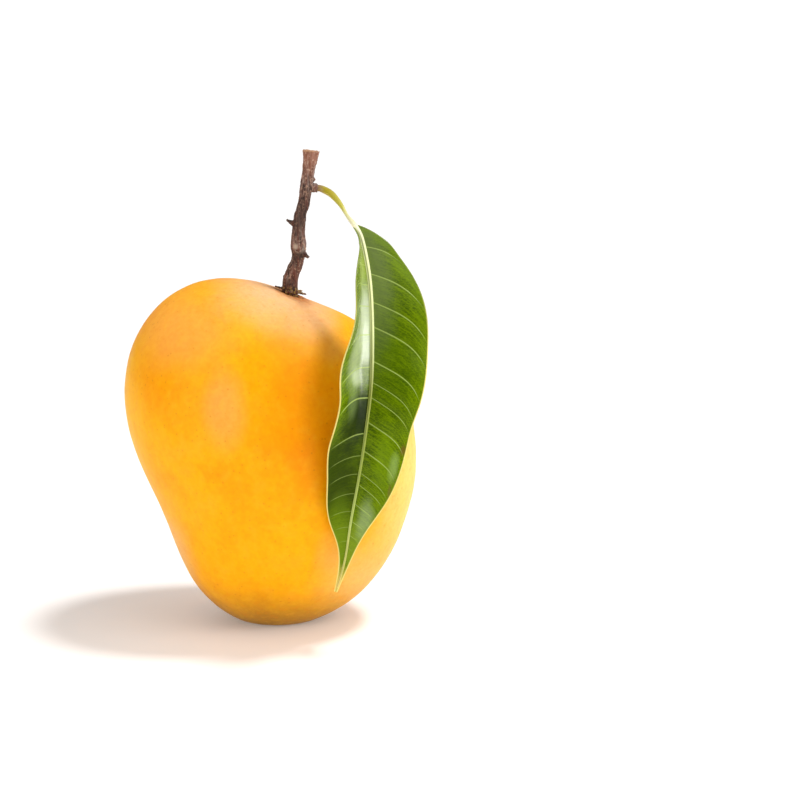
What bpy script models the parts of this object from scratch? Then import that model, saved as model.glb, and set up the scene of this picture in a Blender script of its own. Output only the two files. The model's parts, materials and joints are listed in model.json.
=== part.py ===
"""A ripe mango that stands on its narrow end, with its woody stalk and one hanging leaf.

Metres, +Z up. The origin is the middle of the small flat spot that the fruit rests on. +X is to the
right and -Y is the front, where the leaf hangs. The driving dimensions below are in millimetres.
"""

import math

import bmesh
import bpy
import numpy as np
from mathutils import Vector

MM = 0.001
GAP = 0.3  # left between pieces that meet
WELD = 0.01  # points of one piece that are closer than this are one
SHARP_ANGLE = 50  # degrees, above which an edge stays crisp
FRONT = Vector((0, -1, 0))

# Name, linear colour and roughness of each finish
SKIN = ("ripe_skin", (0.95, 0.42, 0.02), 0.38)
BARK = ("brown_bark", (0.10, 0.045, 0.03), 0.8)
LEAF = ("green_leaf", (0.07, 0.22, 0.015), 0.35)

# The fruit's outline from the front, as X and Z, from the stalk round by the left
OUTLINE = [
    (5.5, 102.1), (-1.5, 104.0), (-10.7, 106.4), (-19.8, 106.3), (-27.2, 103.7), (-34.5, 98.5),
    (-40.4, 90.9), (-44.2, 82.0), (-46.1, 72.4), (-43.7, 59.2), (-38.9, 44.4), (-32.6, 29.6),
    (-28.2, 18.5), (-21.3, 7.1), (-12.5, 0.3), (0.0, -1.2), (14.0, 0.3), (20.7, 4.4),
    (27.2, 10.9), (34.0, 18.7), (38.4, 27.3), (41.9, 40.0), (43.1, 52.0), (41.9, 64.0),
    (38.3, 76.6), (31.9, 87.2), (23.3, 94.0), (14.0, 98.8),
]
OUTLINE_WAVES = 7
FRUIT_CENTRE_HEIGHT = 52.0
FRUIT_HALF_DEPTH = 38.0
SHOULDER_SWELL = 0.15  # how much deeper the fruit is at its shoulders than half way up
FRUIT_SEGMENTS = 64
FRUIT_RINGS = 40
BASIN_DEPTH = 0.4
BASIN_RADIUS = 8.0
BEAK = Vector((-26.5, 0, 16.0))
BEAK_HEIGHT = 0.8
BEAK_RADIUS = 5.0
UNEVENNESS = 0.25  # height of the broad, shallow lumps that a fruit grows with
LUMPS_ROUND = (3, 2)  # how fast they repeat round the outline, and how much that shifts with depth
LUMPS_DEEP = (5, 0.6)  # how fast they repeat from back to front, and from where
EVEN_FOOT = 9.0  # height below which they fade away
CUT_SIZE = 120.0  # of the block that cuts the flat spot, wider than the fruit

# Where the stalk stands in the fruit, with the corky ring of skin round it
STALK_FOOT = Vector((5.2, 0, 98.4))
SOCKET_RADII = (2.45, 2.95)  # at its floor and at SOCKET_TOP, a gap wider than the stalk
SOCKET_TOP = 110.0
SOCKET_SIDES = 24
RING_CENTRE = Vector((5.2, 0, 100.8))
RING_TILT = 16.0  # degrees, down to the right as the shoulder slopes
RING_RADIUS = 4.0
RING_THICKNESS = 2.0
RING_SEGMENTS = (28, 10)  # round the ring and round its section

# The stalk as X, Y, Z and radius, from its foot up
STALK = [
    (5.2, 0.0, 98.4, 2.0), (5.2, 0.0, 101.0, 2.15), (4.9, 0.2, 103.9, 2.35), (5.2, 0.6, 106.5, 2.3),
    (6.5, 0.8, 109.8, 2.05), (7.6, 0.6, 113.1, 1.95), (7.6, 0.2, 115.6, 2.35),
    (7.7, 0.0, 119.6, 2.05), (7.9, -0.2, 123.5, 1.85), (9.2, -0.3, 128.7, 1.75),
    (10.1, 0.0, 134.2, 1.8), (11.1, 0.3, 140.0, 1.95), (11.7, 0.5, 144.6, 2.55),
]
STALK_STEPS = 44
STALK_SIDES = 14

# Buds, scars and the leaf's knuckle on the stalk: foot, tip, foot radius and tip radius
SPURS = [
    ((7.6, -0.2, 122.3), (4.1, -0.6, 124.1), 1.25, 0.35),
    ((7.6, 0.0, 115.0), (10.7, -0.4, 112.7), 1.4, 0.35),
    ((5.2, 0.6, 107.0), (2.9, 0.4, 106.4), 1.5, 0.8),
    ((10.2, 0.0, 134.9), (12.7, 0.2, 136.3), 1.1, 0.45),
    ((7.6, 0.4, 115.4), (8.6, 2.9, 116.4), 1.3, 0.5),
]
KNUCKLE = ((10.0, 0.0, 134.0), (13.5, 0.0, 133.4), 1.8, 1.15)
SPUR_SIDES = 10

# Dry calyx flakes round the stalk's foot: bearing in degrees from +X, reach and height of the tip
FLAKES = [
    (190, 4.8, 104.1), (115, 4.2, 103.4), (48, 4.3, 102.2), (345, 4.9, 101.7), (262, 4.3, 102.7),
]
FLAKE_ROOT_HEIGHT = 102.6
FLAKE_RADII = (1.4, 0.95)  # half their width at the root and at the tip
FLAKE_FLATNESS = 0.23  # their thickness as a share of their width

# The leaf's own stalk, as X, Y, Z and radius, from the knuckle to the blade
PETIOLE = [
    (14.3, 0.0, 133.4, 1.05), (15.4, -0.3, 133.0, 1.1), (17.2, -2.0, 132.2, 1.05),
    (19.3, -5.0, 130.5, 0.9), (21.0, -8.0, 128.6, 0.68), (22.7, -11.0, 126.1, 0.55),
]

# The midrib as X, Y and Z, with the half widths of the blade to the right and left of it and how
# far each half lifts towards the front, in degrees
BLADE = [
    ((24.8, -14.0, 123.6), 0.7, 0.7, 0, 80),
    ((26.0, -15.6, 121.8), 2.7, 1.4, -2, 84),
    ((27.3, -18.3, 118.1), 7.1, 4.4, -4, 86),
    ((28.15, -20.6, 114.5), 9.5, 7.8, -5, 85),
    ((28.9, -23.0, 110.4), 12.1, 10.8, -6, 82),
    ((29.8, -27.8, 100.0), 15.9, 15.2, -6, 75),
    ((30.0, -30.8, 89.8), 16.4, 16.2, -6, 68),
    ((29.4, -33.3, 76.0), 14.7, 15.1, -2, 55),
    ((28.6, -34.2, 69.5), 13.2, 14.0, 0, 50),
    ((27.7, -34.5, 62.5), 12.4, 12.7, 3, 44),
    ((25.7, -34.5, 49.9), 10.1, 10.0, 6, 27),
    ((23.7, -33.5, 38.7), 5.6, 6.2, 6, 14),
    ((22.8, -32.5, 32.3), 3.0, 3.2, 4, 8),
    ((21.7, -31.5, 26.2), 1.5, 1.6, 2, 4),
    ((19.1, -29.5, 17.1), 0.5, 0.5, 0, 0),
]
BLADE_THICKNESS = 0.7
BLADE_CELLS_ALONG = 48
BLADE_CELLS_ACROSS = 12
BLADE_ARCH = 0.03  # rise of the right half between midrib and margin, as a share of its width
# The left half sinks back beside the midrib: how far down the blade, and how steeply
HOLLOW = [(0, 0), (14, 0.5), (45, 0.5), (64, 0.12), (114, 0.05)]
HOLLOW_ROUNDING = 0.1  # of the bend where the left half turns forward again
WAVE_HEIGHT = 1.0
WAVE_LENGTH = 24.5
WAVE_STARTS = {+1: 1.0, -1: -0.32}  # where the right and left wave begin, in radians
BEARING_STEP = 0.5  # to either side of a place on the midrib, to find its direction there
MIDRIB_RADII = (0.65, 0.35)  # where the blade begins and where the rib ends
MIDRIB_DEPTH = 0.35  # its middle lies behind the blade's front face
MIDRIB_END = 0.985
RIB_POINTS = 14
RIB_STEPS = 70
RIB_SIDES = 10


def smooth_through(keys, values):
    """A function that runs through the values at the keys without a sudden bend (natural cubic)."""
    keys = np.asarray(keys, dtype=float)
    values = np.asarray(values, dtype=float)
    gaps = np.diff(keys)
    slopes = np.diff(values) / gaps
    matrix = np.eye(len(keys))
    target = np.zeros(len(keys))
    for row in range(1, len(keys) - 1):
        matrix[row, row - 1] = gaps[row - 1]
        matrix[row, row] = 2 * (gaps[row - 1] + gaps[row])
        matrix[row, row + 1] = gaps[row]
        target[row] = 6 * (slopes[row] - slopes[row - 1])
    bends = np.linalg.solve(matrix, target)

    def value_at(key):
        cell = int(np.clip(np.searchsorted(keys, key) - 1, 0, len(gaps) - 1))
        gap = gaps[cell]
        before = key - keys[cell]
        after = keys[cell + 1] - key
        curve = (bends[cell] * after**3 + bends[cell + 1] * before**3) / (6 * gap)
        start = (values[cell] / gap - bends[cell] * gap / 6) * after
        end = (values[cell + 1] / gap - bends[cell + 1] * gap / 6) * before
        return float(curve + start + end)

    return value_at


def distances_along(points):
    """The length of the way to each point, from the first."""
    steps = [(Vector(b) - Vector(a)).length for a, b in zip(points, points[1:])]
    return [sum(steps[:count]) for count in range(len(points))]


def smooth_route(rows, steps):
    """Evenly spaced points and radii on the smooth way through rows of X, Y, Z and radius."""
    stations = distances_along([row[:3] for row in rows])
    tracks = [smooth_through(stations, column) for column in zip(*rows)]
    places = [stations[-1] * count / steps for count in range(steps + 1)]
    points = [tuple(track(place) for track in tracks[:3]) for place in places]
    return points, [tracks[3](place) for place in places]


def outline_reach():
    """The outline's distance from the fruit's centre as a smooth function of the angle."""
    def waves(angle):
        turns = [1.0]
        for count in range(1, OUTLINE_WAVES + 1):
            turns += [math.cos(count * angle), math.sin(count * angle)]
        return turns

    rows = [waves(math.atan2(z - FRUIT_CENTRE_HEIGHT, x)) for x, z in OUTLINE]
    reaches = [math.hypot(x, z - FRUIT_CENTRE_HEIGHT) for x, z in OUTLINE]
    weights = np.linalg.lstsq(np.array(rows), np.array(reaches), rcond=None)[0]
    return lambda angle: float(np.dot(waves(angle), weights))


def bump(place, centre, radius):
    """1 at the centre of a round bump, fading to 0 well outside its radius."""
    return math.exp(-((place - centre).length / radius) ** 2)


def material(name, colour, roughness):
    """A plain finish in linear colour."""
    finish = bpy.data.materials.new(name)
    finish.use_nodes = True
    shader = finish.node_tree.nodes["Principled BSDF"]
    shader.inputs["Base Color"].default_value = (*colour, 1)
    shader.inputs["Roughness"].default_value = roughness
    shader.inputs["Metallic"].default_value = 0
    return finish


def add_object(mesh, name, collection):
    """Puts a mesh in the scene as an object of this name."""
    piece = bpy.data.objects.new(name, mesh)
    collection.objects.link(piece)
    return piece


def add_shape(bm, name, collection):
    """Turns a finished bmesh in millimetres into an object in metres."""
    bmesh.ops.scale(bm, vec=(MM, MM, MM), verts=bm.verts)
    mesh = bpy.data.meshes.new(name)
    bm.to_mesh(mesh)
    bm.free()
    return add_object(mesh, name, collection)


def add_tube(name, points, radii, sides, collection):
    """A round rod of varying radius along the points, as a closed mesh."""
    curve = bpy.data.curves.new(name, "CURVE")
    curve.dimensions = "3D"
    curve.bevel_depth = MM
    curve.bevel_resolution = sides // 2 - 2
    curve.use_fill_caps = True
    path = curve.splines.new("POLY")
    path.points.add(len(points) - 1)
    for knot, point, radius in zip(path.points, points, radii):
        knot.co = (*(Vector(point) * MM), 1)
        knot.radius = radius
    guide = add_object(curve, f"{name}_path", collection)
    evaluated = guide.evaluated_get(bpy.context.evaluated_depsgraph_get())
    mesh = bpy.data.meshes.new_from_object(evaluated)
    bm = bmesh.new()
    bm.from_mesh(mesh)
    bmesh.ops.remove_doubles(bm, verts=bm.verts, dist=WELD * MM)
    bm.to_mesh(mesh)
    bm.free()
    piece = add_object(mesh, name, collection)
    piece.matrix_world = guide.matrix_world
    bpy.data.objects.remove(guide)
    return piece


def add_spur(name, foot, tip, foot_radius, tip_radius, flatness, collection):
    """A blunt cone from foot to tip, squashed upright where flatness is under 1."""
    foot = Vector(foot)
    way = Vector(tip) - foot
    bm = bmesh.new()
    bmesh.ops.create_cone(
        bm,
        cap_ends=True,
        segments=SPUR_SIDES,
        radius1=foot_radius,
        radius2=tip_radius,
        depth=way.length,
    )
    bmesh.ops.scale(bm, vec=(1, flatness, 1), verts=bm.verts)
    turn = way.to_track_quat("Z", "Y").to_matrix()
    bmesh.ops.rotate(bm, matrix=turn, verts=bm.verts)
    bmesh.ops.translate(bm, vec=foot + way / 2, verts=bm.verts)
    return add_shape(bm, name, collection)


def apply_boolean(piece, operation, other):
    """Joins to the piece, or cuts from it, an object or all the objects of a collection."""
    step = piece.modifiers.new(operation.title(), "BOOLEAN")
    step.operation = operation
    step.solver = "EXACT"
    if isinstance(other, bpy.types.Collection):
        step.operand_type = "COLLECTION"
        step.collection = other
    else:
        step.object = other
    evaluated = piece.evaluated_get(bpy.context.evaluated_depsgraph_get())
    mesh = bpy.data.meshes.new_from_object(evaluated)
    piece.modifiers.clear()
    piece.data = mesh


def join_growths(piece, growths):
    """Fuses a collection's pieces to what they grow from and removes the collection."""
    apply_boolean(piece, "UNION", growths)
    for growth in list(growths.objects):
        bpy.data.objects.remove(growth)
    bpy.data.collections.remove(growths)


def new_collection(name):
    collection = bpy.data.collections.new(name)
    bpy.context.scene.collection.children.link(collection)
    return collection


def finish_piece(piece, name, finish):
    """Names a piece, gives it its finish and shades its round faces smooth."""
    piece.name = name
    piece.data.name = name
    piece.data.materials.clear()
    piece.data.materials.append(finish)
    piece.data.shade_smooth()
    piece.data.set_sharp_from_angle(angle=math.radians(SHARP_ANGLE))


def build_fruit(parts, cutters):
    """One solid fruit, cut flat where it rests and hollowed where the stalk stands in it."""
    reach_at = outline_reach()
    bm = bmesh.new()
    bmesh.ops.create_uvsphere(bm, u_segments=FRUIT_SEGMENTS, v_segments=FRUIT_RINGS, radius=1)
    for vertex in bm.verts:
        across, depth, up = vertex.co
        angle = math.atan2(up, across)
        reach = math.hypot(across, up) * reach_at(angle)
        x = reach * math.cos(angle)
        z = FRUIT_CENTRE_HEIGHT + reach * math.sin(angle)
        swell = 1 + SHOULDER_SWELL * (z - FRUIT_CENTRE_HEIGHT) / FRUIT_CENTRE_HEIGHT
        place = Vector((x, depth * FRUIT_HALF_DEPTH * swell, z))
        outward = Vector((across, depth, up))
        lumps = math.sin(LUMPS_ROUND[0] * angle + LUMPS_ROUND[1] * depth)
        lumps *= math.sin(LUMPS_DEEP[0] * depth + LUMPS_DEEP[1])
        place += outward * UNEVENNESS * lumps * min(1.0, z / EVEN_FOOT)
        place.z -= BASIN_DEPTH * bump(place, RING_CENTRE, BASIN_RADIUS)
        place += outward * BEAK_HEIGHT * bump(place, BEAK, BEAK_RADIUS)
        vertex.co = place
    fruit = add_shape(bm, "fruit", parts)

    bm = bmesh.new()
    bmesh.ops.create_cube(bm, size=CUT_SIZE)
    bmesh.ops.translate(bm, vec=(0, 0, -CUT_SIZE / 2), verts=bm.verts)
    floor_cut = add_shape(bm, "resting_spot_cut", cutters)
    apply_boolean(fruit, "DIFFERENCE", floor_cut)

    bpy.ops.mesh.primitive_torus_add(
        major_segments=RING_SEGMENTS[0],
        minor_segments=RING_SEGMENTS[1],
        major_radius=RING_RADIUS * MM,
        minor_radius=RING_THICKNESS / 2 * MM,
        location=RING_CENTRE * MM,
        rotation=(0, math.radians(RING_TILT), 0),
    )
    ring = bpy.context.object
    apply_boolean(fruit, "UNION", ring)
    bpy.data.objects.remove(ring)

    bm = bmesh.new()
    socket_floor = STALK_FOOT.z - GAP
    bmesh.ops.create_cone(
        bm,
        cap_ends=True,
        segments=SOCKET_SIDES,
        radius1=SOCKET_RADII[0],
        radius2=SOCKET_RADII[1],
        depth=SOCKET_TOP - socket_floor,
    )
    middle = Vector((STALK_FOOT.x, STALK_FOOT.y, (SOCKET_TOP + socket_floor) / 2))
    bmesh.ops.translate(bm, vec=middle, verts=bm.verts)
    socket = add_shape(bm, "stalk_socket_cut", cutters)
    apply_boolean(fruit, "DIFFERENCE", socket)
    finish_piece(fruit, "fruit", material(*SKIN))


def build_stalk(parts):
    """The cut twig with its node, bud stubs, calyx flakes and the knuckle that bears the leaf."""
    stalk = add_tube("stalk", *smooth_route(STALK, STALK_STEPS), STALK_SIDES, parts)

    growths = new_collection("Stalk growths")
    for count, (foot, tip, foot_radius, tip_radius) in enumerate([*SPURS, KNUCKLE]):
        add_spur(f"spur_{count + 1}", foot, tip, foot_radius, tip_radius, 1, growths)
    for count, (bearing, reach, height) in enumerate(FLAKES):
        outward = Vector((math.cos(math.radians(bearing)), math.sin(math.radians(bearing)), 0))
        foot = Vector((STALK_FOOT.x, STALK_FOOT.y, FLAKE_ROOT_HEIGHT))
        tip = foot + outward * reach
        tip.z = height
        add_spur(f"flake_{count + 1}", foot, tip, *FLAKE_RADII, FLAKE_FLATNESS, growths)
    join_growths(stalk, growths)
    finish_piece(stalk, "stalk", material(*BARK))


def hollow_depth(share):
    """Depth of the left half's hollow from midrib to margin, deepest a quarter of the way out."""
    toward_margin = (1 - share) / 3
    blend = min(1.0, max(0.0, 0.5 + (toward_margin - share) / (2 * HOLLOW_ROUNDING)))
    straight = toward_margin * (1 - blend) + share * blend
    return straight - HOLLOW_ROUNDING * blend * (1 - blend)


def build_leaf(parts):
    """One folded, wavy blade with a rib that runs on into the leaf's own stalk."""
    midrib = [row[0] for row in BLADE]
    stations = distances_along(midrib)
    length = stations[-1]
    track = [smooth_through(stations, axis) for axis in zip(*midrib)]
    right_width, left_width, right_lift, left_lift = [
        smooth_through(stations, [row[column] for row in BLADE]) for column in range(1, 5)
    ]
    half_widths = {+1: right_width, -1: left_width}
    lifts = {+1: right_lift, -1: left_lift}

    def on_midrib(distance):
        return Vector([axis(distance) for axis in track])

    def frame_at(distance):
        """Directions across the blade to the right and out to the front, at a right angle."""
        ahead = on_midrib(min(distance + BEARING_STEP, length))
        ahead -= on_midrib(max(distance - BEARING_STEP, 0))
        right = FRONT.cross(ahead).normalized()
        return right, ahead.normalized().cross(right)

    def on_blade(distance, across):
        """The front face at a distance along the midrib, with across from -1 to 1."""
        right, front = frame_at(distance)
        side = 1 if across >= 0 else -1
        share = abs(across)
        width = half_widths[side](distance)
        lift = math.radians(lifts[side](distance))
        outward = right * side * math.cos(lift) + front * math.sin(lift)
        upward = front * math.cos(lift) - right * side * math.sin(lift)
        if side > 0:
            arch = 4 * BLADE_ARCH * width * share * (1 - share)
        else:
            arch = -float(np.interp(distance, *zip(*HOLLOW))) * width * hollow_depth(share)
        turn = 2 * math.pi * distance / WAVE_LENGTH + WAVE_STARTS[side]
        fade = math.sin(math.pi * min(1.0, max(0.0, distance / length)))
        wave = WAVE_HEIGHT * fade * share**2 * math.sin(turn)
        return on_midrib(distance) + outward * width * share + upward * (arch + wave)

    bm = bmesh.new()
    bmesh.ops.create_grid(
        bm, x_segments=BLADE_CELLS_ACROSS, y_segments=BLADE_CELLS_ALONG, size=1
    )
    for vertex in bm.verts:
        vertex.co = on_blade((1 - vertex.co.y) / 2 * length, vertex.co.x)
    bmesh.ops.triangulate(bm, faces=bm.faces)
    leaf = add_shape(bm, "leaf", parts)
    shell = leaf.modifiers.new("Blade thickness", "SOLIDIFY")
    shell.thickness = BLADE_THICKNESS * MM
    shell.offset = -1

    first, last = MIDRIB_RADII
    rib = []
    for count in range(RIB_POINTS + 1):
        distance = length * MIDRIB_END * count / RIB_POINTS
        place = on_midrib(distance) - frame_at(distance)[1] * MIDRIB_DEPTH
        rib.append((*place, first + (last - first) * distance / length))
    growths = new_collection("Leaf growths")
    add_tube("rib", *smooth_route(PETIOLE + rib, RIB_STEPS), RIB_SIDES, growths)
    join_growths(leaf, growths)
    finish_piece(leaf, "leaf", material(*LEAF))


def main():
    for old in list(bpy.data.objects):
        bpy.data.objects.remove(old)
    parts = new_collection("Mango")
    cutters = new_collection("Cutters")
    build_fruit(parts, cutters)
    build_stalk(parts)
    build_leaf(parts)
    for cutter in cutters.objects:
        cutter.hide_render = True
        cutter.display_type = "WIRE"


main()
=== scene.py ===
import json
import math

import bpy
import numpy as np
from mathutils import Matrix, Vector

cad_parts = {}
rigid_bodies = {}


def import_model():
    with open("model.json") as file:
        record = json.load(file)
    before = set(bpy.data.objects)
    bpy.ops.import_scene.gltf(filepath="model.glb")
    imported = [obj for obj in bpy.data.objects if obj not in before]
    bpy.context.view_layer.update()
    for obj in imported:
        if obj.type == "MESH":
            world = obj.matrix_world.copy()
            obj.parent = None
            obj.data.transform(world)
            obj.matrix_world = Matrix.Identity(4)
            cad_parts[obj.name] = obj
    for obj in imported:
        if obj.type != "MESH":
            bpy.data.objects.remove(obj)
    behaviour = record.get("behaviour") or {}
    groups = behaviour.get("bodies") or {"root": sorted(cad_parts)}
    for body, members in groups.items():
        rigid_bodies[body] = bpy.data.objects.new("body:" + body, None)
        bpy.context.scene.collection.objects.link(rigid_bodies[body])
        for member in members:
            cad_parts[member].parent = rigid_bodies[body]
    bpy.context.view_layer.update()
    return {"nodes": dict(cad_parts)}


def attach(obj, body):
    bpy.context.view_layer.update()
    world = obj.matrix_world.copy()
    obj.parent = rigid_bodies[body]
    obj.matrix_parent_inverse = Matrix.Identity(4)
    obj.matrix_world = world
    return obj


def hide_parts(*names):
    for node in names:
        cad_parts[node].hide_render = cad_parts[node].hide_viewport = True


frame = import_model()


# The fruit: one ripe mango with a thin, waxy, satin skin that grew as one piece, golden with peach
# and deep orange patches. A low ring of cork closes round the stalk, and a dried scar marks the
# beak low on the left. The smooth solid gets a fine mesh, and then the slight swells of real skin.
MM = 0.001
SKIN_CELL = 0.62 * MM
SKIN_SMOOTHING = 14
MERGE_GAP = 0.002 * MM
SWELL_WIDTH = 13 * MM
SWELL_HEIGHT = 0.35 * MM
CRACK_WIDTH = 1.1 * MM
CRACK_HEIGHT = 0.9 * MM
STALK_FOOT = Vector((5.2, 0, 100.3)) * MM
CORK_REACH = 6.5 * MM
BEAK_SCAR = Vector((-26.5, -1, 16)) * MM


def linear(code):
    """The linear colour of an sRGB hex value."""
    parts = [int(code[place : place + 2], 16) / 255 for place in (0, 2, 4)]
    return [*(part / 12.92 if part < 0.04 else ((part + 0.055) / 1.055) ** 2.4 for part in parts), 1]


def add_node(tree, kind, settings=None, links=None):
    """Adds one node with its settings and values, and links its sockets to what feeds them."""
    node = tree.nodes.new(kind)
    for name, value in (settings or {}).items():
        if isinstance(name, int) or name in node.inputs:
            node.inputs[name].default_value = value
        else:
            setattr(node, name, value)
    for socket, source in (links or {}).items():
        if isinstance(source, bpy.types.Node):
            source = source.outputs[0]
        tree.links.new(source, node.inputs[socket])
    return node


def colour_ramp(tree, value, stops):
    """The colour that the value falls on among the stops, each a place and a colour."""
    node = add_node(tree, "ShaderNodeValToRGB", links={0: value})
    elements = node.color_ramp.elements
    while len(elements) < len(stops):
        elements.new(0.5)
    for element, (place, code) in zip(elements, stops):
        element.position = place
        element.color = linear(code)
    return node


def paint_over(tree, colour, code, share, blend="MIX"):
    """The colour with one more colour laid over it, as far as the share says at each point."""
    settings = {"data_type": "RGBA", "blend_type": blend, 7: linear(code)}
    return add_node(tree, "ShaderNodeMix", settings, {0: share, 6: colour}).outputs[2]


def smooth_range(tree, value, limits, shares):
    """A share that goes smoothly from the first to the second while the value crosses the limits."""
    settings = {"interpolation_type": "SMOOTHSTEP"}
    settings.update(zip((1, 2, 3, 4), (*limits, *shares)))
    return add_node(tree, "ShaderNodeMapRange", settings, {0: value})


def product(tree, first, second):
    """One value times another at each point."""
    return add_node(tree, "ShaderNodeMath", {"operation": "MULTIPLY"}, {0: first, 1: second})


def new_material(name):
    """A new material with its shader, as the material, its nodes and the shader."""
    material = bpy.data.materials.new(name)
    material.use_nodes = True
    tree = material.node_tree
    return material, tree, tree.nodes["Principled BSDF"]


def copy_of(node, name):
    """A copy of a solid with its loose triangles merged into one closed skin."""
    bpy.ops.object.select_all(action="DESELECT")
    solid = frame["nodes"][node]
    solid.select_set(True)
    bpy.context.view_layer.objects.active = solid
    bpy.ops.object.duplicate()
    piece = bpy.context.active_object
    piece.name = name
    bpy.ops.object.parent_clear(type="CLEAR_KEEP_TRANSFORM")
    for key in list(piece.keys()):
        del piece[key]
    bpy.ops.object.mode_set(mode="EDIT")
    bpy.ops.mesh.select_all(action="SELECT")
    bpy.ops.mesh.remove_doubles(threshold=MERGE_GAP)
    bpy.ops.mesh.tris_convert_to_quads()
    bpy.ops.object.mode_set(mode="OBJECT")
    return piece


def apply_modifier(piece, kind, **settings):
    """Gives the piece one modifier and applies it."""
    step = piece.modifiers.new(kind, kind)
    for name, value in settings.items():
        setattr(step, name, value)
    bpy.context.view_layer.objects.active = piece
    bpy.ops.object.modifier_apply(modifier=step.name)


def add_relief(piece, name, width, height, group="", lengthwise=1):
    """Raises and lowers the skin by soft clouds of this width, drawn out lengthwise."""
    pattern = bpy.data.textures.new(name, "CLOUDS")
    pattern.noise_scale = 1
    bpy.ops.object.empty_add()
    measure = bpy.context.active_object
    measure.scale = (width, width, width * lengthwise)
    bpy.context.view_layer.update()
    apply_modifier(
        piece,
        "DISPLACE",
        texture=pattern,
        texture_coords="OBJECT",
        texture_coords_object=measure,
        strength=height,
        vertex_group=group,
    )
    bpy.data.objects.remove(measure)


fruit = copy_of("fruit", "mango_fruit")
apply_modifier(fruit, "SUBSURF", levels=2, render_levels=2)
apply_modifier(fruit, "REMESH", mode="VOXEL", voxel_size=SKIN_CELL)
apply_modifier(fruit, "SMOOTH", factor=0.5, iterations=SKIN_SMOOTHING)
add_relief(fruit, "skin_swells", SWELL_WIDTH, SWELL_HEIGHT)

cork = fruit.vertex_groups.new(name="cork")
for vertex in fruit.data.vertices:
    reach = (vertex.co - STALK_FOOT).length
    if reach < CORK_REACH:
        cork.add([vertex.index], 1 - reach / CORK_REACH, "REPLACE")
add_relief(fruit, "cork_cracks", CRACK_WIDTH, CRACK_HEIGHT, group="cork")
fruit.data.shade_smooth()

# Ripe mango skin, waxed by the plant itself: a satin sheen, a little light that comes back out of
# the flesh, mottled colour, pores about 2 mm apart and a very fine grain.
skin, tree, shader = new_material("ripe_mango_skin")
place = add_node(tree, "ShaderNodeTexCoord").outputs["Object"]
mottle = add_node(
    tree,
    "ShaderNodeTexNoise",
    {"Scale": 1 / (17 * MM), "Detail": 4, "Roughness": 0.6, "Distortion": 0.3},
    {"Vector": place},
)
SKIN_COLOURS = [
    (0.30, "f79b00"),
    (0.45, "faa700"),
    (0.56, "fbaf00"),
    (0.72, "faae1c"),
]
colour = colour_ramp(tree, mottle, SKIN_COLOURS)
# Colour fields of the ripening skin, some of them painted sheen, painted light and painted shade:
# centre and half sizes in millimetres, colour and share.
FIELDS = [
    ((12, -34, 72), (20, 30, 26), "fd9700", 0.75),
    ((-26, -24, 94), (20, 40, 12), "f6a64c", 0.7),
    # Pale peach round the stalk: the skin's own tone with a painted sheen from above.
    ((4, 0, 104), (22, 40, 12), "f6c598", 0.85),
    ((14, -20, 97), (9, 24, 7), "f6c298", 0.6),
    # Peach and gold patches.
    ((-12, -38, 73), (7, 30, 13), "f9af60", 0.5),
    ((-46, -10, 66), (12, 30, 26), "fbc000", 0.6),
    # Painted shadow: brownish pink where the leaf shades the skin beside its stalk.
    ((19, -30, 91), (6, 20, 7), "d99a70", 0.3),
    # A corky mark beside the stalk.
    ((9.5, -5, 100), (3.5, 6, 2.5), "e09c68", 0.7),
    # Pale yellow on the lower right: the skin's own tone and painted light from the right.
    ((44, -10, 40), (16, 40, 36), "ecc86c", 0.9),
    # Lighter and yellower patches lower down.
    ((30, -24, 14), (18, 30, 20), "e4b66c", 0.75),
    ((20, -32, 28), (7, 20, 9), "ecb85c", 0.5),
    ((-30, -10, 20), (8, 34, 18), "efbe7c", 0.6),
    ((-8, -34, 28), (26, 30, 22), "fab200", 0.6),
    # Painted shade: the bottom is darker and browner, where the fruit shades itself.
    ((0, 0, -6), (60, 60, 24), "a0781e", 0.93),
]
# The mottling makes the edges of the fields wander.
wander = add_node(
    tree,
    "ShaderNodeMath",
    {"operation": "MULTIPLY_ADD", 1: 0.5, 2: -0.25},
    {0: mottle},
)
for centre, size, code, share in FIELDS:
    near = add_node(
        tree,
        "ShaderNodeMapping",
        {
            "vector_type": "TEXTURE",
            "Location": Vector(centre) * MM,
            "Scale": Vector(size) * MM,
        },
        {0: place},
    )
    length = add_node(tree, "ShaderNodeVectorMath", {"operation": "LENGTH"}, {0: near})
    edge = add_node(
        tree,
        "ShaderNodeMath",
        {"operation": "ADD"},
        {0: length.outputs["Value"], 1: wander},
    )
    field = smooth_range(tree, edge, (0.25, 1.25), (share, 0))
    colour = paint_over(tree, colour, code, field)
# Finer clouds, drawn out up and down, lighter and darker than the skin round them.
upright = add_node(tree, "ShaderNodeMapping", {"Scale": (1, 1, 0.7)}, {0: place})
clouds = add_node(
    tree,
    "ShaderNodeTexNoise",
    {"Scale": 1 / (3 * MM), "Detail": 3, "Roughness": 0.65},
    {"Vector": upright},
)
for low, high, code, share in [(0.5, 0.75, "ffc030", 0.26), (0.48, 0.3, "f09400", 0.25)]:
    cloud = add_node(tree, "ShaderNodeMapRange", {1: low, 2: high, 3: 0, 4: share}, {0: clouds})
    colour = paint_over(tree, colour, code, cloud)
# A fine grain and dark pores.
grain = add_node(
    tree,
    "ShaderNodeTexNoise",
    {"Scale": 1 / (1.3 * MM), "Detail": 3, "Roughness": 0.7},
    {"Vector": place},
)
grain_share = add_node(tree, "ShaderNodeMapRange", {1: 0.35, 2: 0.75, 3: 0, 4: 0.3}, {0: grain})
colour = paint_over(tree, colour, "f0c070", grain_share, "MULTIPLY")
pores = add_node(
    tree,
    "ShaderNodeTexVoronoi",
    {"Scale": 1 / (2.3 * MM), "Randomness": 1},
    {"Vector": place},
)
pore_share = smooth_range(tree, pores.outputs["Distance"], (0.06, 0.19), (0.32, 0))
colour = paint_over(tree, colour, "c56a10", pore_share)
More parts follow.
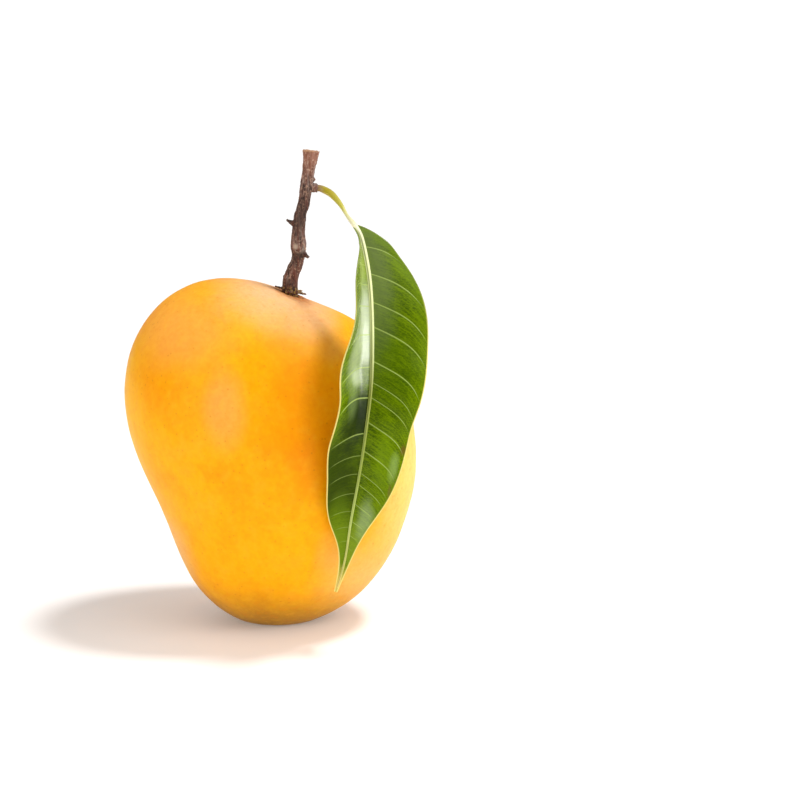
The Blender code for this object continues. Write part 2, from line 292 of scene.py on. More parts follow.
# Ragged brown marks round the stalk and on the beak: centre, radius, colour and share.
for centre, radius, code, share in [
    (STALK_FOOT, 8.0 * MM, "c07840", 0.9),
    (BEAK_SCAR, 3.0 * MM, "a8703c", 0.7),
]:
    away = add_node(
        tree,
        "ShaderNodeVectorMath",
        {"operation": "DISTANCE", 1: centre},
        {0: place},
    )
    ragged = add_node(
        tree,
        "ShaderNodeMath",
        {"operation": "MULTIPLY_ADD", 1: radius * 0.9},
        {0: grain, 2: away.outputs["Value"]},
    )
    mark = smooth_range(tree, ragged, (radius, radius * 1.5), (share, 0))
    colour = paint_over(tree, colour, code, mark)
tree.links.new(colour, shader.inputs["Base Color"])
bump = add_node(
    tree,
    "ShaderNodeBump",
    {"Strength": 0.35, "Distance": 0.08 * MM},
    {"Height": grain},
)
bump = add_node(
    tree,
    "ShaderNodeBump",
    {"Strength": 0.5, "Distance": 0.06 * MM},
    {"Height": pores.outputs["Distance"], "Normal": bump},
)
tree.links.new(bump.outputs[0], shader.inputs["Normal"])
shader.inputs["Roughness"].default_value = 0.42
shader.inputs["IOR"].default_value = 1.45
shader.inputs["Specular IOR Level"].default_value = 0.1
shader.inputs["Subsurface Weight"].default_value = 0.15
shader.inputs["Subsurface Radius"].default_value = (1.0, 0.5, 0.12)
shader.inputs["Subsurface Scale"].default_value = 2.5 * MM
fruit.data.materials.clear()
fruit.data.materials.append(skin)
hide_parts("fruit")
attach(fruit, "root")


# The stalk: the woody twig that the fruit was picked with, one growth of brown, wrinkled bark with
# a swollen node, bud stubs and the dry scales of the flower at its foot. It was cut off square at
# the top, so pale wood shows there. The bark's wrinkles run lengthwise and are real relief.
BARK_CELL = 0.15 * MM
BARK_SMOOTHING = 5
# Relief of the bark: name, width and height in millimetres, and how far it is drawn out lengthwise.
BARK_RELIEF = [
    ("bark_lumps", 1.7, 0.55, 1.5),
    ("bark_wrinkles", 0.45, 0.3, 6),
    ("bark_cracks", 0.35, 0.12, 1),
]
stalk = copy_of("stalk", "mango_stalk")
apply_modifier(stalk, "REMESH", mode="VOXEL", voxel_size=BARK_CELL)
apply_modifier(stalk, "SMOOTH", factor=0.5, iterations=BARK_SMOOTHING)
for name, width, height, lengthwise in BARK_RELIEF:
    add_relief(stalk, name, width * MM, height * MM, lengthwise=lengthwise)
stalk.data.shade_smooth()

# Dry bark of a young mango twig: matt and brown, reddish towards the cut, with paler, weathered
# ridges, dark furrows, and pale flecks of cork round the node.
bark, tree, shader = new_material("dry_mango_bark")
place = add_node(tree, "ShaderNodeTexCoord").outputs["Object"]
along = add_node(tree, "ShaderNodeMapping", {"Scale": (1, 1, 0.22)}, {0: place})
furrows = add_node(
    tree,
    "ShaderNodeTexNoise",
    {"Scale": 1 / (0.55 * MM), "Detail": 4, "Roughness": 0.65},
    {"Vector": along},
)
BARK_COLOURS = [
    (0.34, "261813"),
    (0.46, "523a31"),
    (0.56, "785c50"),
    (0.70, "b49c8e"),
]
colour = colour_ramp(tree, furrows, BARK_COLOURS)
# Grey and red-brown streaks run up it, each about half a millimetre wide.
for shift, code, share in [(3 * MM, "958880", 0.6), (9 * MM, "7e4434", 0.6)]:
    drawn_out = add_node(
        tree,
        "ShaderNodeMapping",
        {"Location": (shift, shift, 0), "Scale": (1, 1, 0.12)},
        {0: place},
    )
    streak = add_node(
        tree,
        "ShaderNodeTexNoise",
        {"Scale": 1 / (0.9 * MM), "Detail": 2},
        {"Vector": drawn_out},
    )
    streak = add_node(tree, "ShaderNodeMapRange", {1: 0.5, 2: 0.66, 3: 0, 4: share}, {0: streak})
    colour = paint_over(tree, colour, code, streak)
# Reddish bark near the top, then the pale wood of the cut.
height = add_node(tree, "ShaderNodeSeparateXYZ", links={0: place}).outputs["Z"]
for low, high, code, share in [
    (134 * MM, 143 * MM, "9c6146", 0.55),
    (144.0 * MM, 144.7 * MM, "c79a72", 0.6),
]:
    rise = smooth_range(tree, height, (low, high), (0, share))
    colour = paint_over(tree, colour, code, rise)
# Pale flecks of cork.
flecks = add_node(
    tree,
    "ShaderNodeTexNoise",
    {"Scale": 1 / (0.7 * MM), "Detail": 2},
    {"Vector": place},
)
fleck_share = smooth_range(tree, flecks, (0.56, 0.68), (0, 0.7))
colour = paint_over(tree, colour, "b89880", fleck_share)
# Darker at the foot, in a ring under the node and in the middle.
rings = add_node(tree, "ShaderNodeMapRange", {1: 98 * MM, 2: 145 * MM}, {0: height})
BARK_RINGS = [
    (0.06, "d0a890"),
    (0.14, "c8a894"),
    (0.20, "f0e6e0"),
    (0.30, "d8ccc4"),
    (0.335, "8a766c"),
    (0.365, "ffffff"),
    (0.44, "f0e8e4"),
    (0.52, "b4a49c"),
    (0.64, "b8a8a0"),
    (0.78, "f4ece8"),
    (0.92, "ffffff"),
]
rings = colour_ramp(tree, rings, BARK_RINGS)
colour = add_node(
    tree,
    "ShaderNodeMix",
    {"data_type": "RGBA", "blend_type": "MULTIPLY", 0: 1},
    {6: colour, 7: rings},
).outputs[2]
# A pale scar shows on the front of the node.
scar = add_node(
    tree,
    "ShaderNodeVectorMath",
    {"operation": "DISTANCE", 1: Vector((6.8, -2.2, 116.2)) * MM},
    {0: place},
)
scar = smooth_range(tree, scar.outputs["Value"], (0.3 * MM, 1.3 * MM), (0.6, 0))
colour = paint_over(tree, colour, "cdb8a2", scar)
# Yellow, corky crumbs stick between the scales at the foot.
foot = smooth_range(tree, height, (102.8 * MM, 104.6 * MM), (0.6, 0))
crumbs = add_node(tree, "ShaderNodeMapRange", {1: 0.5, 2: 0.6}, {0: flecks})
crumbs = product(tree, crumbs, foot)
colour = paint_over(tree, colour, "b09040", crumbs)
tree.links.new(colour, shader.inputs["Base Color"])
bump = add_node(
    tree,
    "ShaderNodeBump",
    {"Strength": 0.7, "Distance": 0.12 * MM},
    {"Height": furrows},
)
tree.links.new(bump.outputs[0], shader.inputs["Normal"])
shader.inputs["Roughness"].default_value = 0.8
shader.inputs["IOR"].default_value = 1.45
stalk.data.materials.clear()
stalk.data.materials.append(bark)
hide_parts("stalk")
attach(stalk, "root")


# The leaf: one glossy mango leaf with a wavy blade folded along its midrib, side veins that leave
# it every few millimetres and bend over near the margin, and its own yellow stalk, swollen where
# it joins the twig. It grew as one piece and hangs from the knuckle on the twig in front of the fruit.

# Sizes are in millimetres, the lifts in degrees and other angles in radians. A pair of values under
# 1 and -1 is for the right and the left half. Rows along the midrib: its point, the half widths
# right and left, and how far each half is lifted.
BLADE = [
    (24.8, -14.0, 123.6, 0.7, 0.7, 0, 80),
    (26.0, -15.6, 121.8, 2.7, 1.4, -2, 84),
    (27.3, -18.3, 118.1, 7.1, 4.4, -4, 86),
    (28.15, -20.6, 114.5, 9.5, 7.8, -5, 85),
    (28.9, -23.0, 110.4, 12.1, 10.8, -6, 82),
    (29.8, -27.8, 100.0, 15.9, 15.2, -6, 75),
    (30.0, -30.8, 89.8, 16.4, 16.2, -6, 68),
    (29.4, -33.3, 76.0, 14.7, 15.1, -2, 55),
    (28.6, -34.2, 69.5, 13.2, 14.0, 0, 50),
    (27.7, -34.5, 62.5, 12.4, 12.7, 3, 44),
    (25.7, -34.5, 49.9, 10.1, 10.0, 6, 27),
    (23.7, -33.5, 38.7, 5.6, 6.2, 6, 14),
    (22.8, -32.5, 32.3, 3.0, 3.2, 4, 8),
    (21.7, -31.5, 26.2, 1.5, 1.6, 2, 4),
    (19.1, -29.5, 17.1, 0.5, 0.5, 0, 0),
]
# The leaf's own stalk from the knuckle down: points and radii.
PETIOLE = [
    (12.8, 0.1, 133.5, 0.95),
    (14.3, 0.0, 133.4, 1.0),
    (15.4, -0.3, 133.0, 1.05),
    (17.2, -2.0, 132.2, 1.05),
    (19.3, -5.0, 130.5, 0.88),
    (21.0, -8.0, 128.6, 0.64),
    (22.7, -11.0, 126.1, 0.52),
]
# Where each side vein leaves the midrib, and the slope, hook and bend of its way to the margin. The
# hooks stand beside distances along the blade.
RIGHT_VEINS = [-8, -1, 7.5, 16.2, 24.8, 32, 42, 48, 52.3, 59.5]
RIGHT_VEINS += [68, 74.6, 78, 84, 89.5, 94, 98, 102, 106, 110]
LEFT_VEINS = [-7, 0, 7, 13.8, 20, 26.3, 34.5, 43.8, 52.6, 63]
LEFT_VEINS += [69.5, 75, 81, 86.5, 91.5, 96, 100, 104, 108, 112]
VEIN_STARTS = {1: RIGHT_VEINS, -1: LEFT_VEINS}
VEIN_SLOPES = {1: 0.48, -1: 0.08}
VEIN_HOOKS = {1: [(0, 0.3)], -1: [(22, 0.24), (60, 0.34)]}
VEIN_POWERS = {1: 5, -1: 2.5}
BLADE_THICKNESS = (0.6, 0.32)  # at the midrib and at the margin
TIP_THICKNESS = 0.2
BLADE_ARCH = 0.03
HOLLOW = [(0, 0), (14, 0.5), (45, 0.5), (64, 0.12), (114, 0.05)]
HOLLOW_ROUNDING = 0.1  # of the bend where the left half turns forward again
WAVE_HEIGHT = 1.0
WAVE_LENGTH = 24.5
WAVE_STARTS = {1: 1.0, -1: -0.32}
CELLS_ACROSS = 100
CELLS_ALONG = 400
CROWDING = 0.3  # of the columns near the midrib, where the blade bends most
FRAME_REACH = 0.5
PILLOW_HEIGHT = 0.28
PILLOW_ROUNDNESS = 0.8
PILLOW_FADES = (4, 3.2)  # at the midrib and at the margin
PILLOW_FULL_WIDTH = 10
RIB_RADII = (0.78, 0.27)  # at the top and at the tip
RIB_RISE = 0.35
RIB_END = 0.985
RIB_PLACES = 60
RIB_RINGS = 300
RIB_SIDES = 28
FOLD_FORWARD = 0.3
GROOVE_DEPTH = 0.3
GROOVE_START = 4  # below the top of the blade
GROOVE_RUN_IN = 8
GROOVE_TURN = 0.35
GROOVE_WIDTH = 0.3


def smooth_through(keys, rows):
    """A curve through the rows at the keys without a sudden bend, as a function of places."""
    keys = np.array(keys, dtype=float)
    rows = np.array(rows, dtype=float)
    gaps = np.diff(keys)
    slopes = np.diff(rows, axis=0) / gaps[:, None]
    matrix = np.eye(len(keys))
    target = np.zeros(rows.shape)
    for row in range(1, len(keys) - 1):
        matrix[row, row - 1] = gaps[row - 1]
        matrix[row, row] = 2 * (gaps[row - 1] + gaps[row])
        matrix[row, row + 1] = gaps[row]
        target[row] = 6 * (slopes[row] - slopes[row - 1])
    bends = np.linalg.solve(matrix, target)

    def rows_at(places):
        cell = np.clip(np.searchsorted(keys, places) - 1, 0, len(gaps) - 1)
        gap = gaps[cell][..., None]
        before = (places - keys[cell])[..., None]
        after = (keys[cell + 1] - places)[..., None]
        curve = (bends[cell] * after**3 + bends[cell + 1] * before**3) / (6 * gap)
        start = (rows[cell] / gap - bends[cell] * gap / 6) * after
        end = (rows[cell + 1] / gap - bends[cell + 1] * gap / 6) * before
        return curve + start + end

    return rows_at


def lengths_along(points):
    """The length of the way to each point, from the first."""
    steps = np.linalg.norm(np.diff(np.array(points, dtype=float), axis=0), axis=1)
    return np.concatenate([[0], np.cumsum(steps)])


def unit(vectors):
    """The vectors, each made one long."""
    return vectors / np.linalg.norm(vectors, axis=-1, keepdims=True)


stations = lengths_along([row[:3] for row in BLADE])
blade_length = stations[-1]
blade_rows = smooth_through(stations, BLADE)


def blade_frames(distances):
    """The rows at these distances, with the directions to the right and out to the front there."""
    ahead = blade_rows(np.minimum(distances + FRAME_REACH, blade_length))[:, :3]
    ahead = ahead - blade_rows(np.maximum(distances - FRAME_REACH, 0))[:, :3]
    right = unit(np.cross((0, -1, 0), ahead))
    return blade_rows(distances), right, np.cross(unit(ahead), right)


bpy.ops.object.select_all(action="DESELECT")
bpy.ops.mesh.primitive_grid_add(x_subdivisions=CELLS_ACROSS, y_subdivisions=CELLS_ALONG, size=2)
leaf = bpy.context.active_object
leaf.name = "mango_leaf"
grid = np.zeros(len(leaf.data.vertices) * 3)
leaf.data.vertices.foreach_get("co", grid)
grid = grid.reshape(-1, 3)
across = grid[:, 0] * (1 - CROWDING + CROWDING * grid[:, 0] ** 2)
distances = (1 - grid[:, 1]) / 2 * blade_length
side = np.where(across >= 0, 1, -1)
share = np.abs(across)
rows, right, front = blade_frames(distances)
width = np.where(side > 0, rows[:, 3], rows[:, 4])
lift = np.radians(np.where(side > 0, rows[:, 5], rows[:, 6]))[:, None]
outward = right * side[:, None] * np.cos(lift) + front * np.sin(lift)
upward = front * np.cos(lift) - right * side[:, None] * np.sin(lift)
start = np.where(side > 0, WAVE_STARTS[1], WAVE_STARTS[-1])
fade = np.sin(math.pi * distances / blade_length)
# The right half arches slightly. The left half sinks back beside the rib, then turns forward.
toward_margin = (1 - share) / 3
blend = np.clip(0.5 + (toward_margin - share) / (2 * HOLLOW_ROUNDING), 0, 1)
sink = toward_margin * (1 - blend) + share * blend - HOLLOW_ROUNDING * blend * (1 - blend)
sink *= np.interp(distances, *zip(*HOLLOW))
rise = width * np.where(side > 0, 4 * BLADE_ARCH * share * (1 - share), -sink)
rise += WAVE_HEIGHT * fade * share**2 * np.sin(2 * math.pi * distances / WAVE_LENGTH + start)
# A side vein leaves the midrib at a slant and hooks towards the tip near the margin. Its number
# at a point is found from where a vein through that point would leave the midrib.
vein_number = {}
for half, starts in VEIN_STARTS.items():
    hook = np.interp(distances, *zip(*VEIN_HOOKS[half]))
    leaves_at = distances - width * (VEIN_SLOPES[half] * share + hook * share ** VEIN_POWERS[half])
    vein_number[half] = np.interp(leaves_at, starts, np.arange(len(starts)))
own_number = np.where(side > 0, vein_number[1], vein_number[-1])
# The blade is lifted into low pillows between the side veins.
pillow = np.abs(np.sin(math.pi * own_number)) ** PILLOW_ROUNDNESS
between = np.clip(share * PILLOW_FADES[0], 0, 1) * np.clip((1 - share) * PILLOW_FADES[1], 0, 1)
between = between * np.clip(width / PILLOW_FULL_WIDTH, 0, 1)
rise += PILLOW_HEIGHT * pillow * between
skin_front = rows[:, :3] + outward * (width * share)[:, None] + upward * rise[:, None]
leaf.data.vertices.foreach_set("co", (skin_front * MM).ravel())

# Two maps follow the blade, in millimetres: across and along it, and the vein's number beside the
# way to the margin.
corner_vertex = np.zeros(len(leaf.data.loops), dtype=int)
leaf.data.loops.foreach_get("vertex_index", corner_vertex)
corner_side = np.repeat(np.sign(grid[corner_vertex, 0].reshape(-1, 4).sum(1)), 4)
corner_number = np.where(
    corner_side > 0,
    vein_number[1][corner_vertex],
    vein_number[-1][corner_vertex],
)
flat_map = np.stack([(across * width)[corner_vertex], distances[corner_vertex]], 1)
vein_map = np.stack([corner_number, ((1 - share) * width)[corner_vertex]], 1)
for layer in list(leaf.data.uv_layers):
    leaf.data.uv_layers.remove(layer)
for name, values in (("blade", flat_map), ("veins", vein_map)):
    layer = leaf.data.uv_layers.new(name=name)
    layer.data.foreach_set("uv", values.ravel())

# The underside lies a little below the face, closer at the margin, with the veins standing out.
count = len(grid)
apply_modifier(leaf, "SOLIDIFY", thickness=BLADE_THICKNESS[0] * MM, offset=-1)
both = np.zeros(len(leaf.data.vertices) * 3)
leaf.data.vertices.foreach_get("co", both)
both = both.reshape(-1, 3)
depth = BLADE_THICKNESS[0] + (BLADE_THICKNESS[1] - BLADE_THICKNESS[0]) * share**2
depth = np.minimum(depth, TIP_THICKNESS + width / 2)
back_normal = unit(both[count : 2 * count] - both[:count])
both[count : 2 * count] = both[:count] + back_normal * depth[:, None] * MM
leaf.data.vertices.foreach_set("co", both.ravel())
underside = leaf.data.attributes.new("underside", "FLOAT", "POINT")
underside.data.foreach_set("value", np.arange(len(both)) >= count)
leaf.data.update()


def add_rod(name, points, radii, sides):
    """A round rod of varying radius along the points, in millimetres, as a closed mesh."""
    line = bpy.data.curves.new(name, "CURVE")
    line.dimensions = "3D"
    line.bevel_depth = MM
    line.bevel_resolution = sides // 2 - 2
    line.use_fill_caps = True
    way = line.splines.new("POLY")
    way.points.add(len(points) - 1)
    for knot, point, radius in zip(way.points, points, radii):
        knot.co = (*(Vector(point) * MM), 1)
        knot.radius = radius
    rod = bpy.data.objects.new(name, line)
    bpy.context.scene.collection.objects.link(rod)
    bpy.ops.object.select_all(action="DESELECT")
    rod.select_set(True)
    bpy.context.view_layer.objects.active = rod
    bpy.ops.object.convert(target="MESH")
    return bpy.context.active_object


# The rib stands out of the fold, midway between the two halves, and a fine groove runs down it.
rib_places = np.linspace(0, blade_length * RIB_END, RIB_PLACES)
rib_rows, rib_right, rib_front = blade_frames(rib_places)
rib_lifts = np.radians(rib_rows[:, 5:7])
fold = rib_right * (np.cos(rib_lifts[:, :1]) - np.cos(rib_lifts[:, 1:]))
rib_tilt = np.sin(rib_lifts[:, :1]) + np.sin(rib_lifts[:, 1:]) + FOLD_FORWARD
fold = unit(fold + rib_front * rib_tilt)
rib_radii = RIB_RADII[0] + (RIB_RADII[1] - RIB_RADII[0]) * rib_places / blade_length
rib_points = rib_rows[:, :3] + fold * (rib_radii * RIB_RISE)[:, None]
rib_knots = [*PETIOLE, *np.column_stack([rib_points, rib_radii])]
rib_stations = lengths_along([knot[:3] for knot in rib_knots])
rib_curve = smooth_through(rib_stations, rib_knots)(np.linspace(0, rib_stations[-1], RIB_RINGS))
rib = add_rod("leaf_rib", rib_curve[:, :3], rib_curve[:, 3], RIB_SIDES)
groove = rib.data.attributes.new("groove", "FLOAT", "POINT")
groove_start = lengths_along([knot[:3] for knot in PETIOLE])[-1] + GROOVE_START
rib_lengths = lengths_along(rib_curve[:, :3])
for vertex in rib.data.vertices:
    point = np.array(vertex.co) / MM
    nearest = np.argmin(np.linalg.norm(rib_curve[:, :3] - point, axis=1))
    spoke = point - rib_curve[nearest, :3]
    angle = math.atan2(spoke[0], -spoke[1]) + GROOVE_TURN
    begun = min(1, max(0, rib_lengths[nearest] - groove_start) / GROOVE_RUN_IN)
    depth = math.exp(-((angle / GROOVE_WIDTH) ** 2)) * begun
    groove.data[vertex.index].value = depth
    vertex.co = Vector(rib_curve[nearest, :3] + spoke * (1 - GROOVE_DEPTH * depth)) * MM
rib.data.shade_smooth()
leaf.data.shade_smooth()

# Leaf blade with its waxy cuticle: glossy, mid green, lighter and yellower away from the midrib,
# with pale side veins, a fine net between them and a thin yellow margin.
blade_green, tree, shader = new_material("waxy_mango_leaf")
flat = add_node(tree, "ShaderNodeUVMap", {"uv_map": "blade"})
veins = add_node(tree, "ShaderNodeUVMap", {"uv_map": "veins"})
flat_parts = add_node(tree, "ShaderNodeSeparateXYZ", links={0: flat})
vein_parts = add_node(tree, "ShaderNodeSeparateXYZ", links={0: veins})
cloudy = add_node(
    tree,
    "ShaderNodeTexNoise",
    {"Scale": 1 / 7, "Detail": 4, "Roughness": 0.6, "noise_dimensions": "2D"},
    {"Vector": flat},
)
LEAF_GREENS = [
    (0.35, "354a00"),
    (0.65, "475e00"),
]
colour = colour_ramp(tree, cloudy, LEAF_GREENS)
from_margin = smooth_range(tree, vein_parts.outputs["Y"], (0, 7), (0.5, 0))
colour = paint_over(tree, colour, "587100", from_margin)
# Faint streaks run beside the side veins, 0.7 mm apart.
beside_veins = add_node(tree, "ShaderNodeMapping", {"Scale": (11, 0.22, 1)}, {0: veins})
streaks = add_node(
    tree,
    "ShaderNodeTexNoise",
    {"Scale": 1, "Detail": 3, "Roughness": 0.65, "noise_dimensions": "2D"},
    {"Vector": beside_veins},
)
streak_share = add_node(
    tree,
    "ShaderNodeMapRange",
    {1: 0.38, 2: 0.7, 3: 0, 4: 0.36},
    {0: streaks},
)
colour = paint_over(tree, colour, "8aa600", streak_share)
# The fine net is drawn coarser than the real one, so that it still shows from here.
shaken = add_node(
    tree,
    "ShaderNodeTexNoise",
    {"Scale": 1.1, "Detail": 1, "noise_dimensions": "2D"},
    {"Vector": flat},
)
slanted = add_node(
    tree,
    "ShaderNodeMapping",
    {"Rotation": (0, 0, 0.45), "Scale": (0.6, 1.4, 1)},
    {0: flat},
)
slanted = add_node(
    tree,
    "ShaderNodeVectorMath",
    {"operation": "MULTIPLY_ADD", 1: (0.9, 0.9, 0)},
    {0: shaken.outputs["Color"], 2: slanted},
)
net = add_node(
    tree,
    "ShaderNodeTexVoronoi",
    {"feature": "DISTANCE_TO_EDGE", "voronoi_dimensions": "2D", "Scale": 1 / 0.85},
    {"Vector": slanted},
)
net_share = smooth_range(tree, net, (0.02, 0.2), (0.2, 0))
colour = paint_over(tree, colour, "90ae00", net_share)
# Where each half lies: 1 on it and 0 on the other.
half_shares = {}
for half in (1, -1):
    half_shares[half] = add_node(
        tree,
        "ShaderNodeMapRange",
        {1: -0.02 * half, 2: 0.02 * half},
        {0: flat_parts.outputs["X"]},
    )
# Areas of another green: tones of the leaf and brown scars, and painted sheen, painted highlights,
# painted shade and painted dark reflections. Each gives the half of the blade, middle and half size
# across and along it in millimetres, colour and share.
AREAS = [
    # Painted light and sheen: lighter, greyish green beside the rib high on the right half, against
    # the shade of the fold.
    (1, (0, 20), (9, 34), "74844a", 0.65),
    # Painted shade and dark reflection: darker green low on the left half, and a nearly black patch
    # beside the rib.
    (-1, (8, 77), (17, 23), "2b3a00", 0.9),
    (-1, (4, 60), (9, 13), "1c2808", 0.85),
    # Painted sheen: a pale, almost white band beside the rib high on the left half.
    (-1, (2.5, 32), (5, 19), "dfe8c8", 0.6),
    # Painted dark reflection: a nearly black patch beside the rib below the sheen.
    (-1, (2, 57), (6, 7), "182408", 0.8),
    # Painted highlights where the left half curls forward.
    (-1, (8, 41), (6, 13), "c4d2a0", 0.5),
    (-1, (6.5, 47), (3.5, 3.5), "d4e0bc", 0.45),
    # Lighter yellow-green high on the left half: its own tone and a painted sheen.
    (-1, (4, 15), (7, 10), "a8ba58", 0.6),
    # A lighter green towards the tip, and its yellow end on both halves.
    (1, (0, 98), (7, 14), "8fa630", 0.4),
    (1, (0, 111), (4, 8), "d8c060", 0.85),
    (-1, (2, 98), (9, 14), "6f8818", 0.65),
    (-1, (0, 111), (4, 8), "d8c060", 0.85),
    # Painted sheen: a whitish patch near the right margin.
    (1, (9.4, 71.5), (1.9, 5.5), "acc872", 0.35),
    # Lighter and darker green on the right half.
    (1, (6.3, 70), (4, 12), "85a618", 0.28),
    (1, (6, 44), (12, 20), "3f5800", 0.4),
    # Painted sheen: the lower end of the sheen on the left half.
    (-1, (7, 54), (3.6, 7), "a0b878", 0.2),
    # Lighter green low on the left half.
    (-1, (4.5, 86), (4, 8), "7a9a10", 0.2),
    # Painted sheen: whitish streaks on the right half towards the tip.
    (1, (3.8, 88), (3, 9), "b4c894", 0.3),
    # Brown scars on the right half.
    (1, (11.4, 66.5), (1.1, 2.0), "66521c", 0.8),
    (1, (9.4, 78.5), (0.7, 3), "6c6428", 0.7),
]
for half, (centre_across, centre_along), (reach_across, reach_along), code, share in AREAS:
    near = add_node(
        tree,
        "ShaderNodeMapping",
        {
            "vector_type": "TEXTURE",
            "Location": (centre_across * half, centre_along, 0),
            "Scale": (reach_across, reach_along, 1),
        },
        {0: flat},
    )
    length = add_node(tree, "ShaderNodeVectorMath", {"operation": "LENGTH"}, {0: near})
    ragged = add_node(
        tree,
        "ShaderNodeMath",
        {"operation": "MULTIPLY_ADD", 1: 0.6},
        {0: cloudy, 2: length.outputs["Value"]},
    )
    field = smooth_range(tree, ragged, (0.5, 1.35), (share, 0))
    own_field = product(tree, field, half_shares[half])
    colour = paint_over(tree, colour, code, own_field)
# The underside is a plain, paler green.
below = add_node(tree, "ShaderNodeAttribute", {"attribute_name": "underside"})
below_share = add_node(tree, "ShaderNodeMapRange", {4: 0.85}, {0: below.outputs["Fac"]})
colour = paint_over(tree, colour, "6c8830", below_share)
# The side veins are pale lines, fainter near the margin and low on the left half.
vein_gap = add_node(
    tree,
    "ShaderNodeMath",
    {"operation": "PINGPONG", 1: 0.5},
    {0: vein_parts.outputs["X"]},
)
vein_line = smooth_range(tree, vein_gap, (0.008, 0.034), (0.7, 0))
vein_fade = smooth_range(tree, vein_parts.outputs["Y"], (0.6, 3.0), (0.15, 1))
vein_share = product(tree, vein_line, vein_fade)
low_left = smooth_range(tree, flat_parts.outputs["Y"], (56, 72), (1, 0.5))
left_fade = add_node(
    tree,
    "ShaderNodeMix",
    {"data_type": "FLOAT", 3: 1},
    {0: half_shares[1], 2: low_left},
)
vein_share = product(tree, vein_share, left_fade)
colour = paint_over(tree, colour, "a9bd62", vein_share)
# The margin is a thin yellow thread that comes up between 18 and 48 mm along the blade.
margin_line = smooth_range(tree, vein_parts.outputs["Y"], (0.15, 0.42), (0.9, 0))
margin_start = smooth_range(tree, flat_parts.outputs["Y"], (18, 48), (0.1, 1))
margin_share = product(tree, margin_line, margin_start)
colour = paint_over(tree, colour, "f0dc80", margin_share)
tree.links.new(colour, shader.inputs["Base Color"])
bump = add_node(
    tree,
    "ShaderNodeBump",
    {"Strength": 0.5, "Distance": 0.05 * MM, "invert": True},
    {"Height": net_share},
)
bump = add_node(
    tree,
    "ShaderNodeBump",
    {"Strength": 0.6, "Distance": 0.10 * MM},
    {"Height": vein_share, "Normal": bump},
)
tree.links.new(bump.outputs[0], shader.inputs["Normal"])
# The wax is worn thin on the right half and below, and shines most high on the left half.
wax_ends = smooth_range(tree, flat_parts.outputs["Y"], (44, 56), (0.6, 0.05))
wax_right = smooth_range(tree, flat_parts.outputs["Y"], (4, 40), (0.28, 0.06))
wax = add_node(
    tree,
    "ShaderNodeMix",
    {"data_type": "FLOAT"},
    {0: half_shares[1], 2: wax_ends, 3: wax_right},
)
# The underside has hardly any wax.
wax = add_node(
    tree,
    "ShaderNodeMix",
    {"data_type": "FLOAT", 3: 0.05},
    {0: below.outputs["Fac"], 2: wax},
)
tree.links.new(wax.outputs[0], shader.inputs["Specular IOR Level"])
shader.inputs["Roughness"].default_value = 0.27
shader.inputs["IOR"].default_value = 1.48
leaf.data.materials.append(blade_green)

# The midrib and the leaf's own stalk: smooth, fibrous and pale, yellow near the twig and greener
# along the blade, brown only at the foot.
rib_finish, tree, shader = new_material("fibrous_leaf_rib")
place = add_node(tree, "ShaderNodeTexCoord").outputs["Object"]
height = add_node(tree, "ShaderNodeSeparateXYZ", links={0: place}).outputs["Z"]
way_up = add_node(tree, "ShaderNodeMapRange", {1: 20 * MM, 2: 135 * MM}, {0: height})
RIB_COLOURS = [
    (0.0, "e0c468"),
    (0.03, "c8c060"),
    (0.17, "b4c464"),
    (0.30, "98a83a"),
    (0.50, "8e9638"),
    # Almost white high on the blade: the rib's own pale colour and a painted highlight that lifts the
    # fold's shade.
    (0.66, "dfe4a2"),
    (0.85, "f0f1ba"),
    (0.905, "ece8c0"),
    (0.945, "bcb440"),
    (0.985, "a89818"),
]
colour = colour_ramp(tree, way_up, RIB_COLOURS)
foot_mark = add_node(tree, "ShaderNodeSeparateXYZ", links={0: place}).outputs["X"]
foot_mark = smooth_range(tree, foot_mark, (13.6 * MM, 16.2 * MM), (0.9, 0))
colour = paint_over(tree, colour, "8a6a48", foot_mark)
# Painted shade darkens the groove.
groove_depth = add_node(tree, "ShaderNodeAttribute", {"attribute_name": "groove"})
painted_groove_shade = smooth_range(tree, groove_depth.outputs["Fac"], (0.2, 0.9), (0, 0.6))
colour = paint_over(tree, colour, "6f7a38", painted_groove_shade)
tree.links.new(colour, shader.inputs["Base Color"])
shader.inputs["Roughness"].default_value = 0.36
rib.data.materials.append(rib_finish)

bpy.ops.object.select_all(action="DESELECT")
rib.select_set(True)
leaf.select_set(True)
bpy.context.view_layer.objects.active = leaf
bpy.ops.object.join()
leaf = bpy.context.active_object
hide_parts("leaf")
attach(leaf, "root")


# The table: a plain, matt white sheet under the fruit. It glows a little, so that it stays white
# round a soft, warm shadow.
bpy.ops.object.select_all(action="DESELECT")
bpy.ops.mesh.primitive_plane_add(size=8, location=(0, 0, -0.05 * MM))
table = bpy.context.active_object
table.name = "white_table"
white, tree, shader = new_material("matt_white_sheet")
shader.inputs["Base Color"].default_value = linear("f4f2f0")
shader.inputs["Roughness"].default_value = 0.7
shader.inputs["Emission Color"].default_value = linear("ffffff")
shader.inputs["Emission Strength"].default_value = 0.13
table.data.materials.append(white)

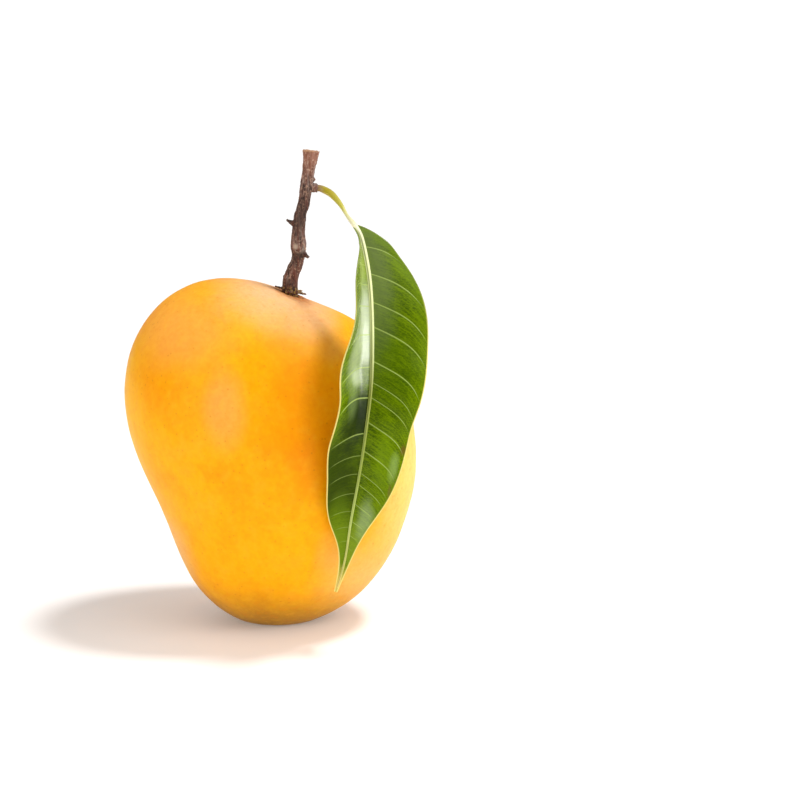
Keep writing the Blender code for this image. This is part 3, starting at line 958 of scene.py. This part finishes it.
# The light: an even white room, a broad lamp high on the right, a soft box in front on each side,
# and a small one low on the right.
room = bpy.data.worlds.new("white_room")
bpy.context.scene.world = room
room.use_nodes = True
tree = room.node_tree
ray = add_node(tree, "ShaderNodeLightPath")
sky = add_node(tree, "ShaderNodeTexCoord").outputs["Generated"]
sky = add_node(tree, "ShaderNodeSeparateXYZ", links={0: sky})
sky = add_node(tree, "ShaderNodeMapRange", {1: 0.0, 2: 0.9, 3: 0.15, 4: 0.6}, {0: sky.outputs["Z"]})
level = add_node(
    tree,
    "ShaderNodeMapRange",
    {4: 1.2},
    {0: ray.outputs["Is Camera Ray"], 3: sky},
)
tree.links.new(level.outputs[0], tree.nodes["Background"].inputs["Strength"])
tree.nodes["Background"].inputs["Color"].default_value = (1, 1, 1, 1)

FRUIT_MIDDLE = Vector((0, 0, 50)) * MM
bpy.ops.object.light_add(type="SUN")
lamp = bpy.context.active_object
lamp.name = "broad_lamp"
lamp.rotation_euler = Vector((0.36, 0.04, 0.93)).to_track_quat("Z", "Y").to_euler()
lamp.data.energy = 2.0
lamp.data.angle = math.radians(11)

# The boxes are aimed at the middle of the fruit: name, place, width and power.
for name, place, width, energy in [
    ("right_soft_box", (0.55, -0.35, 0.4), 0.5, 1.6),
    ("left_soft_box", (-0.65, -0.75, 0.22), 0.6, 3.7),
    ("side_strip_box", (0.42, -0.03, 0.08), 0.14, 0.5),
]:
    bpy.ops.object.light_add(type="AREA", location=place)
    box = bpy.context.active_object
    box.name = name
    box.rotation_euler = (box.location - FRUIT_MIDDLE).to_track_quat("Z", "Y").to_euler()
    box.data.energy = energy
    box.data.shape = "SQUARE"
    box.data.size = width
    box.visible_camera = False

# The camera looks slightly down on the fruit from the front.
bpy.ops.object.camera_add(location=(0.0381, -0.5654, 0.17895), rotation=(math.radians(79), 0, 0))
camera = bpy.context.active_object
camera.data.lens = 84.98
camera.data.sensor_width = 36
camera.data.clip_start = 0.01
bpy.context.scene.camera = camera
bpy.context.scene.view_settings.view_transform = "Standard"

bpy.context.view_layer.update()
